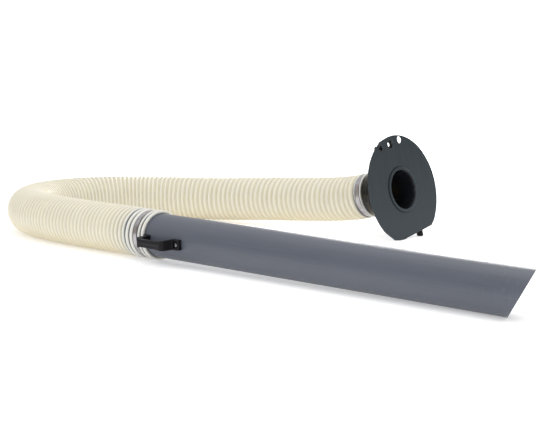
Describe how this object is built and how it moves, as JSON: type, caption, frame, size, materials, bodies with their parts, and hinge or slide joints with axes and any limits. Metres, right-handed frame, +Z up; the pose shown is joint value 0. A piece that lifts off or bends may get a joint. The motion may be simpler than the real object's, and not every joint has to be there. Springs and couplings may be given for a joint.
{
  "type": "litter vacuum hose kit",
  "caption": "Ribbed 4 inch wander hose lying in a U, clamped between a grey hand nozzle with a slanted tip and a round charcoal adapter plate.",
  "frame": {"origin": "on the floor, below the centre of the box round the nozzle and the adapter plate, without the free hose", "axes": "+X along the nozzle towards its slanted tip, +Y from the nozzle towards the adapter plate, +Z up"},
  "size_m": [1.8433, 0.9011, 0.2561],
  "materials": {
    "grey_pvc": "satin",
    "black_plastic": "satin",
    "black_tube": "satin",
    "charcoal_steel": "satin",
    "clamp_steel": "satin",
    "ivory_hose": "satin"
  },
  "bodies": {
    "machine_end": {"adapter_plate": "charcoal_steel", "latch_bracket": "charcoal_steel", "latch_bush_large": "black_plastic", "latch_bush_small": "black_plastic", "locating_pin": "black_plastic", "pin_block": "black_plastic", "collar_tube": "black_tube", "collar_lip": "black_tube", "collar_flange": "black_tube", "hose_end_plate": "ivory_hose", "hose_rear_run": "ivory_hose", "hose_bend": "ivory_hose", "plate_clamp_band": "clamp_steel", "plate_clamp_housing": "clamp_steel"},
    "plate_worm": {"plate_clamp_screw": "clamp_steel"},
    "wand": {"hose_front_run": "ivory_hose", "hose_end_nozzle": "ivory_hose", "nozzle_clamp_band": "clamp_steel", "nozzle_clamp_housing": "clamp_steel", "nozzle_tube": "grey_pvc", "grab_handle": "black_plastic", "handle_screw_1": "clamp_steel", "handle_screw_2": "clamp_steel", "handle_washer_1": "clamp_steel", "handle_washer_2": "clamp_steel", "handle_nut_1": "clamp_steel", "handle_nut_2": "clamp_steel"},
    "nozzle_worm": {"nozzle_clamp_screw": "clamp_steel"}
  },
  "joints": [
    {"name": "hose_sweep", "type": "hinge", "parent": "machine_end", "child": "wand", "pos_m": [-0.951, -0.11, 0.0573], "axis": [0, 0, 1], "range_deg": [-15, 15], "deforming": ["hose_bend"]},
    {"name": "plate_clamp_turn", "type": "hinge", "parent": "machine_end", "child": "plate_worm", "pos_m": [-0.47719, 0.35991, 0.10955], "axis": [-0.1928, -0.1928, 0.9621], "continuous": true},
    {"name": "nozzle_clamp_turn", "type": "hinge", "parent": "wand", "child": "nozzle_worm", "pos_m": [-0.54415, -0.30333, 0.07285], "axis": [0.0061, -0.2588, 0.9659], "continuous": true}
  ]
}
